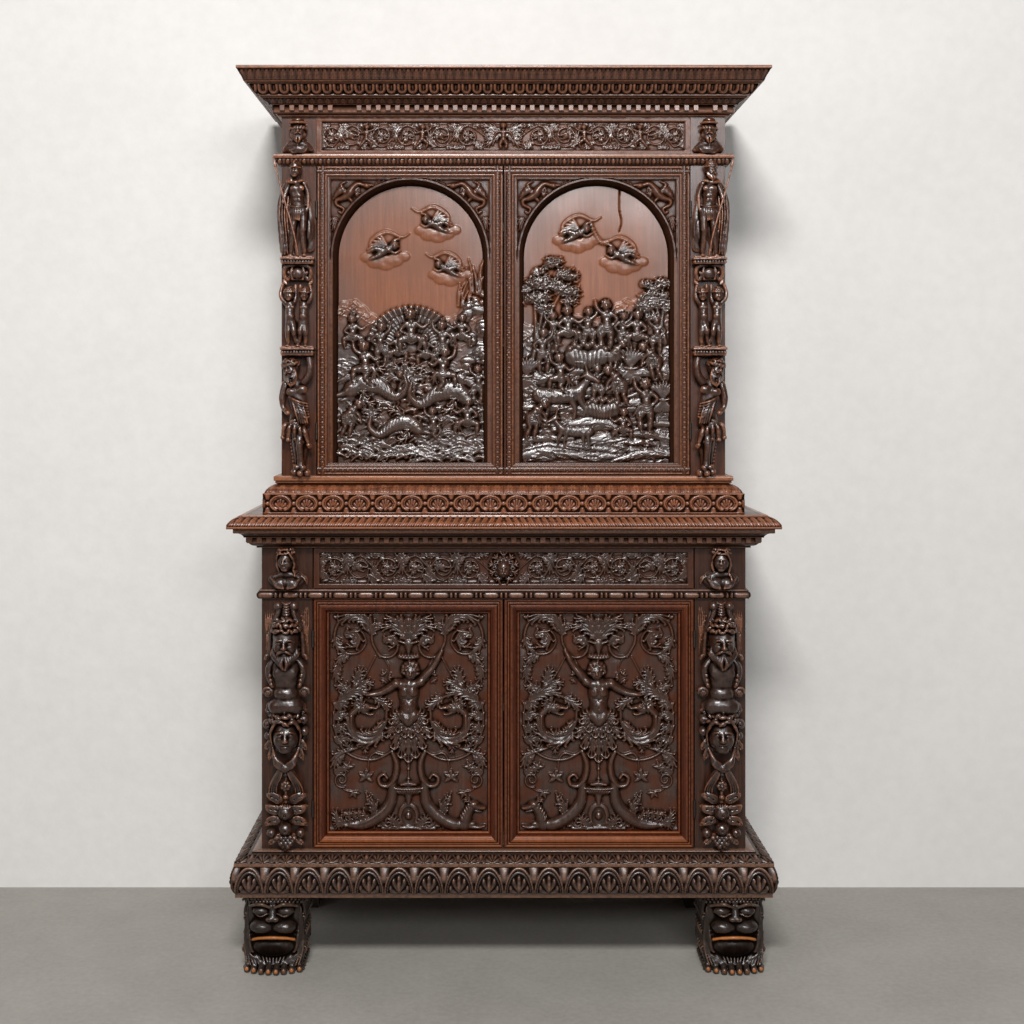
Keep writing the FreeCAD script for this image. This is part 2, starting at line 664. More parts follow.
def cornice():
    """The crowning moulding, with its dentils, as three mitred lengths."""
    z = Z_CORNICE
    foot = z + CORNICE_FOOT_HEIGHT
    dentil = foot + CORNICE_DENTIL_HEIGHT
    leaf = dentil + CORNICE_LEAF_HEIGHT
    bead = leaf + CORNICE_BEAD_HEIGHT
    egg = bead + CORNICE_EGG_HEIGHT
    cyma = egg + CORNICE_CYMA_FOOT_HEIGHT
    lip = cyma + CORNICE_CYMA_HEIGHT
    top = lip + CORNICE_LIP_HEIGHT
    back = CORNICE_DENTIL_PROJECTION - CORNICE_DENTIL_DEPTH
    leaf_half = (CORNICE_DENTIL_PROJECTION + CORNICE_LEAF_PROJECTION) / 2
    egg_half = (CORNICE_BEAD_PROJECTION + CORNICE_EGG_PROJECTION) / 2
    cyma_half = (CORNICE_CYMA_FOOT_PROJECTION + CORNICE_PROJECTION) / 2
    steps = [(-SIDE_THICKNESS, z),
             (CORNICE_FOOT_PROJECTION * 0.7, z),
             (CORNICE_FOOT_PROJECTION, z + CORNICE_FOOT_HEIGHT * 0.4, back, foot),
             (CORNICE_DENTIL_PROJECTION, foot),
             (CORNICE_DENTIL_PROJECTION, dentil),
             (leaf_half - 3, dentil + CORNICE_LEAF_HEIGHT * 0.7, CORNICE_LEAF_PROJECTION, leaf),
             (CORNICE_BEAD_PROJECTION, leaf),
             (CORNICE_BEAD_PROJECTION, bead),
             (egg_half + 5, bead + CORNICE_EGG_HEIGHT * 0.35, CORNICE_EGG_PROJECTION, egg),
             (CORNICE_CYMA_FOOT_PROJECTION, egg),
             (CORNICE_CYMA_FOOT_PROJECTION, cyma),
             (cyma_half - 2, cyma + CORNICE_CYMA_HEIGHT * 0.6, CORNICE_PROJECTION, lip),
             (CORNICE_PROJECTION, top),
             (-SIDE_THICKNESS, top)]
    solids = moulding_set(steps, UPPER_HALF, UPPER_FRONT_Y, BACK_Y)
    return cut_dentils(solids, UPPER_HALF, UPPER_FRONT_Y, BACK_Y, CORNICE_DENTIL_PROJECTION,
                       CORNICE_DENTIL_DEPTH, foot, CORNICE_DENTIL_HEIGHT)


def framed_side(side, half_width, front_y, z0, z1):
    """A case side with a sunk panel on its outer face."""
    outer = side * half_width
    y0 = front_y + PILASTER_THICKNESS
    board = box(outer, outer - side * SIDE_THICKNESS, y0, BACK_Y, z0, z1)
    field = box(outer + side, outer - side * SIDE_PANEL_RECESS, y0 + SIDE_FRAME_WIDTH,
                BACK_Y - SIDE_FRAME_WIDTH, z0 + SIDE_FRAME_WIDTH, z1 - SIDE_FRAME_WIDTH)
    return board.cut(field).Solids[0]


def boarded_back(half_width, z0, z1):
    """A back of upright boards, with a groove at each joint."""
    inside = half_width - SIDE_THICKNESS
    board = box(-inside, inside, BACK_Y - BACK_THICKNESS, BACK_Y, z0, z1)
    grooves = []
    x = -inside + BACK_BOARD_WIDTH
    while x < inside - BACK_GROOVE_WIDTH:
        grooves.append(box(x, x + BACK_GROOVE_WIDTH, BACK_Y - BACK_GROOVE_DEPTH, BACK_Y + 1, z0, z1))
        x += BACK_BOARD_WIDTH
    return board.cut(grooves).Solids[0]


def bust(x, plane_y, z, width, height, depth):
    """Head, neck and draped shoulders on a small socle."""
    stations = [(0.0, 0.34, 0.62, 0), (0.10, 0.47, 0.84, 0), (0.24, 0.50, 0.82, 0),
                (0.36, 0.40, 0.62, 0), (0.42, 0.17, 0.46, 0), (0.50, 0.16, 0.54, 0),
                (0.57, 0.22, 0.82, 0), (0.70, 0.25, 0.98, 0), (0.84, 0.25, 0.88, 0),
                (0.94, 0.18, 0.66, 0), (1.0, 0.08, 0.36, 0)]
    return carved_form(x, plane_y, z, stations, width, height, depth)


def limb(points, radius, end_radius):
    """A bent arm: tapered lengths between points, with round joints."""
    pieces = []
    lengths = len(points) - 1
    for number in range(lengths):
        start = points[number]
        end = points[number + 1]
        thick = radius + (end_radius - radius) * number / lengths
        thin = radius + (end_radius - radius) * (number + 1) / lengths
        pieces.append(Part.makeCone(thick, thin, (end - start).Length, start, end - start))
        pieces.append(Part.makeSphere(thin, end))
    return pieces


def standing_figure(side, z):
    """A draped figure with a staff held across the body."""
    x = side * (UPPER_HALF - UPPER_PILASTER_WIDTH / 2)
    width = UPPER_PILASTER_WIDTH - 2 * CARVING_EDGE_MARGIN
    stations = [(0.0, 0.30, 0.62, 0), (0.05, 0.24, 0.56, 0), (0.18, 0.25, 0.58, 0),
                (0.30, 0.31, 0.74, 0), (0.45, 0.36, 0.86, 0.02), (0.54, 0.31, 0.80, 0.02),
                (0.62, 0.29, 0.74, 0), (0.74, 0.40, 0.84, 0), (0.80, 0.38, 0.74, 0),
                (0.83, 0.14, 0.54, 0), (0.86, 0.13, 0.62, 0), (0.90, 0.18, 0.86, 0),
                (0.96, 0.17, 0.84, 0), (1.0, 0.07, 0.50, 0)]
    body = carved_form(x, UPPER_FRONT_Y, z, stations, width, UPPER_FIGURE_HEIGHT, UPPER_FIGURE_DEPTH)
    staff_y = UPPER_FRONT_Y - UPPER_FIGURE_DEPTH * 0.62
    low = vector(x + width * 0.36, staff_y, z + UPPER_FIGURE_HEIGHT * 0.12)
    high = vector(x - width * 0.44, staff_y, z + UPPER_FIGURE_HEIGHT * 0.86)
    staff = Part.makeCylinder(STAFF_RADIUS, (high - low).Length, low, high - low)
    pieces = [staff]
    arm_y = UPPER_FRONT_Y - UPPER_FIGURE_DEPTH * 0.5
    for turn, hand in ((-1, 0.66), (1, 0.44)):
        shoulder = vector(x + turn * width * 0.33, arm_y, z + UPPER_FIGURE_HEIGHT * 0.77)
        elbow = vector(x + turn * width * 0.42, arm_y - ARM_RADIUS, z + UPPER_FIGURE_HEIGHT * 0.62)
        wrist = vector(x + turn * width * 0.26, arm_y - 2 * ARM_RADIUS, z + UPPER_FIGURE_HEIGHT * hand)
        pieces += limb([shoulder, elbow, wrist], ARM_RADIUS, ARM_RADIUS * 0.7)
    return clean(body.fuse(pieces))


def capital(x, z, height, width, projection):
    """A small moulded shelf: a slab on a chamfered underside."""
    half = width / 2
    steps = [(0, z), (projection * 0.7, z), (projection, z + height * 0.45),
             (projection, z + height), (0, z + height)]
    face = outline_face(steps, lambda p, up: vector(x - half, UPPER_FRONT_Y - p, up))
    return face.extrude(vector(width, 0, 0))


def cherub_pair(side, z):
    """Two cherubs side by side carrying a scrolled capital."""
    x = side * (UPPER_HALF - UPPER_PILASTER_WIDTH / 2)
    stations = [(0.0, 0.36, 0.60, 0), (0.06, 0.26, 0.52, 0), (0.20, 0.34, 0.66, 0),
                (0.36, 0.42, 0.82, 0), (0.50, 0.46, 0.96, 0), (0.62, 0.42, 0.84, 0),
                (0.72, 0.46, 0.78, 0), (0.77, 0.26, 0.62, 0), (0.84, 0.40, 0.92, 0),
                (0.93, 0.38, 0.88, 0), (1.0, 0.30, 0.60, 0)]
    pieces = []
    for turn in (-1, 1):
        middle = x + turn * CHERUB_WIDTH * 0.46
        pieces.append(carved_form(middle, UPPER_FRONT_Y, z, stations, CHERUB_WIDTH, CHERUB_HEIGHT,
                                  CHERUB_DEPTH))
    scroll = z + CHERUB_HEIGHT
    roll = SCROLL_HEIGHT / 2
    drum_start = vector(x - CAPITAL_WIDTH * 0.45, UPPER_FRONT_Y, scroll + roll)
    drum = Part.makeCylinder(roll, CAPITAL_WIDTH * 0.9, drum_start, vector(1, 0, 0))
    behind = box(x - CAPITAL_WIDTH, x + CAPITAL_WIDTH, UPPER_FRONT_Y, UPPER_FRONT_Y + SCROLL_HEIGHT,
                 scroll - 1, scroll + SCROLL_HEIGHT + 1)
    core = box(x - CAPITAL_WIDTH * 0.42, x + CAPITAL_WIDTH * 0.42, UPPER_FRONT_Y - roll * 0.7,
               UPPER_FRONT_Y, scroll - 1, scroll + SCROLL_HEIGHT + 1)
    shelf = capital(x, scroll + SCROLL_HEIGHT, CAPITAL_HEIGHT, CAPITAL_WIDTH, CAPITAL_PROJECTION)
    return clean(pieces[0].fuse([pieces[1], drum.cut(behind), core, shelf]))


def bearded_term(side, z0, z1):
    """A bearded half figure that tapers to a scrolled foot, under its own capital."""
    x = side * (UPPER_HALF - UPPER_PILASTER_WIDTH / 2)
    width = UPPER_PILASTER_WIDTH - 2 * CARVING_EDGE_MARGIN
    foot = box(x - width * 0.40, x + width * 0.40, UPPER_FRONT_Y - TERM_DEPTH * 0.8, UPPER_FRONT_Y,
               z0, z0 + TERM_FOOT_HEIGHT)
    stations = [(0.0, 0.36, 0.76, 0), (0.06, 0.24, 0.58, 0), (0.22, 0.22, 0.56, 0),
                (0.38, 0.34, 0.74, 0), (0.52, 0.42, 0.86, 0), (0.64, 0.36, 0.80, 0),
                (0.74, 0.46, 0.84, 0), (0.80, 0.40, 0.72, 0), (0.84, 0.22, 0.84, 0),
                (0.93, 0.22, 0.92, 0), (1.0, 0.14, 0.60, 0)]
    base = z0 + TERM_FOOT_HEIGHT
    height = z1 - TERM_CAPITAL_HEIGHT - base
    body = carved_form(x, UPPER_FRONT_Y, base, stations, width, height, TERM_DEPTH)
    shelf = capital(x, z1 - TERM_CAPITAL_HEIGHT, TERM_CAPITAL_HEIGHT, CAPITAL_WIDTH, CAPITAL_PROJECTION)
    return clean(body.fuse([foot, shelf]))


def fruit_term(side):
    """The lower pilaster carving: bearded half figure, child's head, drapery and a drop of fruit."""
    x = side * (LOWER_HALF - LOWER_PILASTER_WIDTH / 2)
    width = LOWER_PILASTER_WIDTH - 2 * CARVING_EDGE_MARGIN
    z = Z_LOWER_CASE + CARVING_GAP
    height = LOWER_DOOR_ZONE - 2 * CARVING_GAP
    stations = [(0.0, 0.16, 0.50, 0), (0.04, 0.24, 0.70, 0), (0.09, 0.15, 0.56, 0),
                (0.14, 0.26, 0.62, 0), (0.19, 0.20, 0.60, 0), (0.23, 0.40, 0.50, 0),
                (0.30, 0.38, 0.52, 0), (0.36, 0.34, 0.62, 0), (0.40, 0.34, 0.80, 0),
                (0.45, 0.38, 0.90, 0), (0.52, 0.40, 0.84, 0), (0.56, 0.34, 0.70, 0),
                (0.62, 0.46, 0.72, 0), (0.70, 0.44, 0.78, 0), (0.75, 0.30, 0.74, 0),
                (0.80, 0.24, 0.92, 0), (0.87, 0.24, 0.98, 0), (0.91, 0.30, 0.74, 0),
                (0.96, 0.34, 0.50, 0), (1.0, 0.40, 0.36, 0)]
    return carved_form(x, LOWER_FRONT_Y, z, stations, width, height, LOWER_TERM_DEPTH)


def carved_field(x0, x1, y, z0, z1, thickness, fields):
    """A board with sunk fields for carving; each field is (x0, x1, z0, z1)."""
    board = box(x0, x1, y, y + thickness, z0, z1)
    return board.cut([box(a, b, y - 1, y + FIELD_RECESS, c, d) for a, b, c, d in fields]).Solids[0]


def hinge_at(pin_x, face_y, z, side):
    """Case leaf, pin and door leaf of one hinge; side is -1 when the door hangs on the left."""
    pin_y = face_y - PIN_PROUD
    third = HINGE_HEIGHT / 3
    low = z - HINGE_HEIGHT / 2
    half_gap = HINGE_GAP / 2
    back_y = face_y + HINGE_LEAF_DEPTH
    bore = Part.makeCylinder(PIN_RADIUS + PIN_CLEARANCE, HINGE_HEIGHT + 2, vector(pin_x, pin_y, low - 1))
    wall = side * half_gap
    case_x = (pin_x + wall, pin_x + wall - side * HINGE_LEAF_THICKNESS)
    door_x = (pin_x - wall, pin_x - wall + side * HINGE_LEAF_THICKNESS)
    case = box(case_x[0], case_x[1], pin_y, back_y, low, low + HINGE_HEIGHT)
    middle = low + third - KNUCKLE_GAP / 2
    window = box(pin_x - BARREL_RADIUS - 1, pin_x + BARREL_RADIUS + 1, pin_y - 1, face_y - 1,
                 middle, middle + third + KNUCKLE_GAP)
    barrel = third - KNUCKLE_GAP / 2
    barrels = [Part.makeCylinder(BARREL_RADIUS, barrel, vector(pin_x, pin_y, level))
               for level in (low, low + HINGE_HEIGHT - barrel)]
    case = clean(case.cut(window).fuse(barrels).cut(bore))
    knuckle_low = low + third + KNUCKLE_GAP / 2
    knuckle_high = low + 2 * third - KNUCKLE_GAP / 2
    tongue = box(door_x[0], door_x[1], pin_y, face_y + 1, knuckle_low, knuckle_high)
    plate = box(door_x[0], door_x[1], face_y + 0.5, back_y, low, low + HINGE_HEIGHT)
    knuckle_foot = vector(pin_x, pin_y, knuckle_low)
    knuckle = Part.makeCylinder(BARREL_RADIUS, knuckle_high - knuckle_low, knuckle_foot)
    door = clean(plate.fuse([tongue, knuckle]).cut(bore))
    pin = Part.makeCylinder(PIN_RADIUS, HINGE_HEIGHT + 2, vector(pin_x, pin_y, low - 1))
    return case, pin, door


def door_hinges(side, opening, face_y, z0, z1, inset):
    """The two hinges of one door."""
    pin_x = side * (opening - HINGE_GAP / 2)
    return [hinge_at(pin_x, face_y, z, side) for z in (z0 + inset, z1 - inset)]


def door_rect(side, opening, z0, zone):
    """Outer edges of a door in its opening."""
    outer = side * (opening - HINGE_GAP)
    inner = side * MEETING_GAP / 2
    return (min(outer, inner), max(outer, inner), z0 + DOOR_CLEARANCE, z0 + zone - DOOR_CLEARANCE)


def lock_parts(face_y, thickness, z):
    """Lock case and bolt let into the back of the right-hand door, and the cuts they need."""
    edge = MEETING_GAP / 2
    back = face_y + thickness
    front = back - LOCK_THICKNESS
    low = z - LOCK_HEIGHT / 2
    bolt_y = (front + back) / 2
    half_thickness = BOLT_THICKNESS / 2
    half_height = BOLT_HEIGHT / 2
    channel_thickness = half_thickness + BOLT_CLEARANCE
    channel_height = half_height + BOLT_CLEARANCE
    channel = box(edge - 1, edge + BOLT_LENGTH + 2 * BOLT_CLEARANCE, bolt_y - channel_thickness,
                  bolt_y + channel_thickness, z - channel_height, z + channel_height)
    pocket = box(edge - 1, edge + LOCK_WIDTH, front, back + 1, low, low + LOCK_HEIGHT)
    case = box(edge, edge + LOCK_WIDTH, front, back, low, low + LOCK_HEIGHT).cut(channel).Solids[0]
    bolt = box(edge, edge + BOLT_LENGTH, bolt_y - half_thickness, bolt_y + half_thickness,
               z - half_height, z + half_height)
    mortise = box(-edge - BOLT_MORTISE_DEPTH, -edge + 1, bolt_y - half_thickness - 1,
                  bolt_y + half_thickness + 1, z - half_height - 1, z + half_height + 1)
    return case, bolt, pocket, mortise


def keyhole_cut(inset, face_y, depth, z):
    """A keyhole through the front of a stile."""
    x = MEETING_GAP / 2 + inset
    start = face_y - 2 * UPPER_BAND_RISE
    length = depth + 2 * UPPER_BAND_RISE
    round_part = Part.makeCylinder(KEYHOLE_RADIUS, length, vector(x, start, z), vector(0, 1, 0))
    slot = box(x - KEYHOLE_RADIUS / 2, x + KEYHOLE_RADIUS / 2, start, start + length, z - KEYHOLE_SLOT, z)
    return round_part.fuse(slot)


def cut_each(solids, tools):
    """Cuts the same openings from every member of a frame that they touch."""
    result = []
    for solid in solids:
        for tool in tools:
            if solid.common(tool).Volume > 0.01:
                solid = solid.cut(tool).Solids[0]
        result.append(solid)
    return result


def upper_frame(rect):
    """The moulded frame of an upper door, as four mitred members."""
    face = UPPER_FRONT_Y
    back = face + UPPER_DOOR_THICKNESS
    band_end = UPPER_BAND_START + UPPER_BAND_WIDTH
    steps = [(0, face),
             (UPPER_BAND_START, face),
             (UPPER_BAND_START + UPPER_BAND_WIDTH / 2, face - UPPER_BAND_RISE, band_end, face),
             (UPPER_FRAME_WIDTH - FRAME_STEP, face),
             (UPPER_FRAME_WIDTH, face + SPANDREL_SETBACK),
             (UPPER_FRAME_WIDTH, back),
             (0, back)]
    return mitred_frame(rect, steps)


def arch_wire(x, radius, sill, spring, y):
    """An upright arched outline."""
    left = vector(x - radius, y, sill)
    right = vector(x + radius, y, sill)
    left_spring = vector(x - radius, y, spring)
    right_spring = vector(x + radius, y, spring)
    crown = vector(x, y, spring + radius)
    return Part.Wire([Part.makeLine(left, right), Part.makeLine(right, right_spring),
                      Part.Arc(right_spring, crown, left_spring).toShape(), Part.makeLine(left_spring, left)])


def spandrel_board(rect):
    """The board with the arched opening and its splayed reveal."""
    x0, x1, z0, z1 = inset_rect(rect, UPPER_FRAME_WIDTH)
    front = UPPER_FRONT_Y + SPANDREL_SETBACK
    back = front + SPANDREL_THICKNESS
    board = box(x0, x1, front, back, z0, z1)
    middle = (x0 + x1) / 2
    radius = (x1 - x0) / 2 - ARCH_SIDE_MARGIN
    spring = z1 - ARCH_CROWN_MARGIN - radius
    sill = z0 + ARCH_SILL_MARGIN
    opening = Part.makeLoft([arch_wire(middle, radius, sill, spring, front),
                             arch_wire(middle, radius - ARCH_SPLAY, sill + 1, spring, back)], True, True)
    return board.cut(opening).Solids[0]


def inset_rect(rect, inset):
    return (rect[0] + inset, rect[1] - inset, rect[2] + inset, rect[3] - inset)


def scene_form(kind):
    """Stations, width, height and lean of one main form of a carved scene."""
    child = [(0.0, 0.30, 0.4, 0), (0.30, 0.40, 0.7, 0), (0.50, 0.44, 0.9, 0), (0.70, 0.48, 0.85, 0),
             (0.77, 0.20, 0.7, 0), (0.87, 0.34, 1.0, 0), (1.0, 0.14, 0.5, 0)]
    dolphin = [(0.0, 0.14, 0.4, 0.2), (0.3, 0.30, 0.7, 0), (0.6, 0.48, 1.0, 0), (0.85, 0.46, 1.0, 0),
               (1.0, 0.14, 0.5, 0)]
    shell = [(0.0, 0.08, 0.4, 0), (0.3, 0.34, 0.6, 0), (0.7, 0.50, 0.7, 0), (0.92, 0.36, 0.6, 0),
             (1.0, 0.12, 0.4, 0)]
    rock = [(0.0, 0.50, 0.7, 0), (0.4, 0.46, 0.8, 0), (0.8, 0.36, 0.6, 0.1), (1.0, 0.16, 0.4, 0.2)]
    crown = [(0.0, 0.20, 0.5, 0), (0.25, 0.44, 0.9, 0), (0.6, 0.50, 1.0, 0), (0.85, 0.36, 0.8, 0),
             (1.0, 0.12, 0.4, 0)]
    basket = [(0.0, 0.30, 0.6, 0), (0.5, 0.44, 0.9, 0), (0.6, 0.50, 1.0, 0), (0.9, 0.36, 0.8, 0),
              (1.0, 0.16, 0.5, 0)]
    goat = [(0.0, 0.36, 0.6, 0), (0.4, 0.42, 0.9, 0), (0.7, 0.46, 0.9, 0), (0.84, 0.34, 0.8, -0.3),
            (1.0, 0.18, 0.5, -0.6)]
    forms = {"child": (child, CHILD_WIDTH, CHILD_HEIGHT, 0),
             "dolphin_left": (dolphin, DOLPHIN_WIDTH, DOLPHIN_LENGTH, -90),
             "dolphin_right": (dolphin, DOLPHIN_WIDTH, DOLPHIN_LENGTH, 90),
             "shell": (shell, SHELL_WIDTH, SHELL_HEIGHT, 0),
             "rock": (rock, ROCK_WIDTH, ROCK_HEIGHT, 0),
             "tree_crown": (crown, TREE_CROWN_WIDTH, TREE_CROWN_HEIGHT, 0),
             "basket": (basket, BASKET_WIDTH, BASKET_HEIGHT, 0),
             "goat": (goat, GOAT_WIDTH, GOAT_LENGTH, 90)}
    return forms[kind]


def scene_panel(rect, layout):
    """The panel behind the arch, with the main forms of its scene set over a bank along the foot.

    The layout gives each form's kind and its foot as shares of the half width and of the height."""
    x0, x1, z0, z1 = inset_rect(rect, UPPER_FRAME_WIDTH)
    front = UPPER_FRONT_Y + SPANDREL_SETBACK + SPANDREL_THICKNESS
    board = box(x0, x1, front, UPPER_FRONT_Y + UPPER_DOOR_THICKNESS, z0, z1)
    middle = (x0 + x1) / 2
    half = (x1 - x0) / 2
    low = z0 + BANK_RISE
    steps = [(0, low), (0, low + BANK_HEIGHT), (BANK_DEPTH, low + BANK_HEIGHT * 0.6, BANK_DEPTH * 0.6, low)]
    bank = outline_face(steps, lambda p, z: vector(x0 + BANK_MARGIN, front - p, z))
    carving = [bank.extrude(vector(x1 - x0 - 2 * BANK_MARGIN, 0, 0))]
    for kind, across, up in layout:
        stations, width, height, lean = scene_form(kind)
        carving.append(leaning_form(middle + across * half, front, z0 + up * (z1 - z0), lean, stations,
                                    width, height, SCENE_DEPTH))
    return clean(board.fuse(carving))


def sea_panel(rect):
    """Children and dolphins in the waves round a great shell, by a rock."""
    return scene_panel(rect, [("shell", 0.01, 0.39), ("rock", 0.70, 0.29),
                              ("child", -0.55, 0.30), ("child", 0.36, 0.28),
                              ("dolphin_left", -0.04, 0.25), ("dolphin_right", 0.04, 0.23),
                              ("dolphin_right", -0.50, 0.13),
                              ("child", -0.72, 0.085), ("child", 0.70, 0.06)])


def harvest_panel(rect):
    """Children with baskets and a goat under two trees."""
    return scene_panel(rect, [("tree_crown", -0.55, 0.50), ("tree_crown", 0.55, 0.48),
                              ("child", -0.33, 0.41), ("child", 0.13, 0.40), ("basket", -0.08, 0.315),
                              ("child", 0.52, 0.31), ("goat", -0.70, 0.235), ("child", -0.42, 0.285),
                              ("child", 0.27, 0.19), ("child", 0.70, 0.10), ("child", -0.72, 0.05),
                              ("basket", 0.06, 0.11), ("child", -0.33, 0.06)])


def lower_frame(rect):
    """The frame of a lower door, with a raised crest that steps down to the panel."""
    face = LOWER_FRONT_Y
    back = face + LOWER_DOOR_THICKNESS
    crest = LOWER_BORDER + LOWER_CREST_WIDTH
    slope = (crest + LOWER_FRAME_WIDTH) / 2
    sunk = face + LOWER_PANEL_SETBACK * 0.5
    steps = [(0, face),
             (LOWER_BORDER, face),
             (LOWER_BORDER + LOWER_CREST_WIDTH * 0.3, face - LOWER_CREST_RISE * 0.8,
              crest, face - LOWER_CREST_RISE),
             (slope - 1, face - LOWER_CREST_RISE * 0.2, slope + FRAME_STEP / 2, sunk),
             (LOWER_FRAME_WIDTH - FRAME_STEP / 2, sunk),
             (LOWER_FRAME_WIDTH, face + LOWER_PANEL_SETBACK),
             (LOWER_FRAME_WIDTH, back),
             (0, back)]
    return mitred_frame(rect, steps)


def lower_panel(rect):
    """The lower door panel: half figure, skirt and urn between scrolls, dragons' coils and sea beasts."""
    x0, x1, z0, z1 = inset_rect(rect, LOWER_FRAME_WIDTH)
    front = LOWER_FRONT_Y + LOWER_PANEL_SETBACK
    board = box(x0, x1, front, front + LOWER_PANEL_THICKNESS, z0, z1)
    height = z1 - z0
    middle = (x0 + x1) / 2
    half = (x1 - x0) / 2
    stations = [(0.0, 0.50, 0.5, 0), (0.03, 0.40, 0.7, 0), (0.10, 0.30, 0.9, 0), (0.15, 0.20, 0.7, 0),
                (0.20, 0.46, 0.8, 0), (0.24, 0.30, 0.6, 0), (0.36, 0.14, 0.6, 0), (0.46, 0.40, 0.7, 0),
                (0.53, 0.60, 0.8, 0), (0.57, 0.30, 0.9, 0), (0.62, 0.34, 0.95, 0), (0.67, 0.46, 0.9, 0),
                (0.70, 0.16, 0.7, 0), (0.76, 0.26, 0.95, 0), (0.80, 0.20, 0.7, 0), (0.88, 0.20, 0.5, 0)]
    carving = [carved_form(middle, front, z0, stations, PANEL_FIGURE_WIDTH, height, PANEL_FIGURE_DEPTH)]
    beast = [(0.0, 0.30, 0.5, 0), (0.3, 0.46, 0.9, 0), (0.6, 0.50, 1.0, 0), (0.85, 0.34, 0.8, 0),
             (1.0, 0.14, 0.4, 0)]
    rings = [(0.72, 0.87, LEAF_SCROLL_RADIUS, LEAF_SCROLL_WIDTH, SCROLL_RISE),
             (0.24, 0.85, SMALL_SCROLL_RADIUS, LEAF_SCROLL_WIDTH, SCROLL_RISE),
             (0.51, 0.50, DRAGON_COIL_RADIUS, DRAGON_COIL_WIDTH, COIL_RISE),
             (0.30, 0.245, TAIL_COIL_RADIUS, DRAGON_COIL_WIDTH * 0.8, COIL_RISE)]
    for side in (-1, 1):
        for across, up, radius, width, rise in rings:
            carving.append(scroll_ring(middle + side * across * half, front, z0 + up * height, radius,
                                       width, rise))
        carving.append(leaning_form(middle + side * 0.27 * half, front, z0 + 0.18 * height,
                                    side * SEA_BEAST_LEAN, beast, SEA_BEAST_WIDTH, SEA_BEAST_LENGTH,
                                    SEA_BEAST_DEPTH))
    return clean(board.fuse(carving))


def save_lower_case():
    save("base_board", box(-LOWER_HALF + SIDE_THICKNESS, LOWER_HALF - SIDE_THICKNESS,
                           LOWER_FRONT_Y + LOWER_DOOR_THICKNESS + DOOR_STOP_GAP, BACK_Y - BACK_THICKNESS,
                           Z_LOWER_CASE, Z_LOWER_CASE + BOARD_THICKNESS))
    inside = LOWER_HALF - SIDE_THICKNESS
    front_part = box(-LOWER_OPENING, LOWER_OPENING, LOWER_FRONT_Y, LOWER_FRONT_Y + PILASTER_THICKNESS,
                     Z_RAIL, Z_DRAWER)
    rear_part = box(-inside, inside, LOWER_FRONT_Y + PILASTER_THICKNESS, BACK_Y - BACK_THICKNESS,
                    Z_RAIL, Z_DRAWER)
    save("dust_board", clean(front_part.fuse(rear_part)))
    save("lower_back", boarded_back(LOWER_HALF, Z_LOWER_CASE, Z_COUNTER))
    save("bead_rail", bead_rail())
    save("counter_bed_moulding", bed_moulding())
    save("counter_top", counter())
    save("plinth_moulding", plinth())
    save("rear_feet", [rear_foot(-1), rear_foot(1)])
    for side, name in ((-1, "left"), (1, "right")):
        outer = side * LOWER_HALF
        save("lion_foot_" + name, lion_foot(side))
        save("lower_side_" + name, framed_side(side, LOWER_HALF, LOWER_FRONT_Y, Z_LOWER_CASE, Z_BED))
        save("lower_pilaster_" + name, box(outer, outer - side * LOWER_PILASTER_WIDTH, LOWER_FRONT_Y,
                                           LOWER_FRONT_Y + PILASTER_THICKNESS, Z_LOWER_CASE, Z_BED))
        save("lower_term_" + name, fruit_term(side))
        middle = side * (LOWER_HALF - LOWER_PILASTER_WIDTH / 2)
        save("lower_bust_" + name, bust(middle, LOWER_FRONT_Y, Z_DRAWER + CARVING_GAP, LOWER_BUST_WIDTH,
                                        DRAWER_ZONE - 2 * CARVING_GAP, LOWER_BUST_DEPTH))


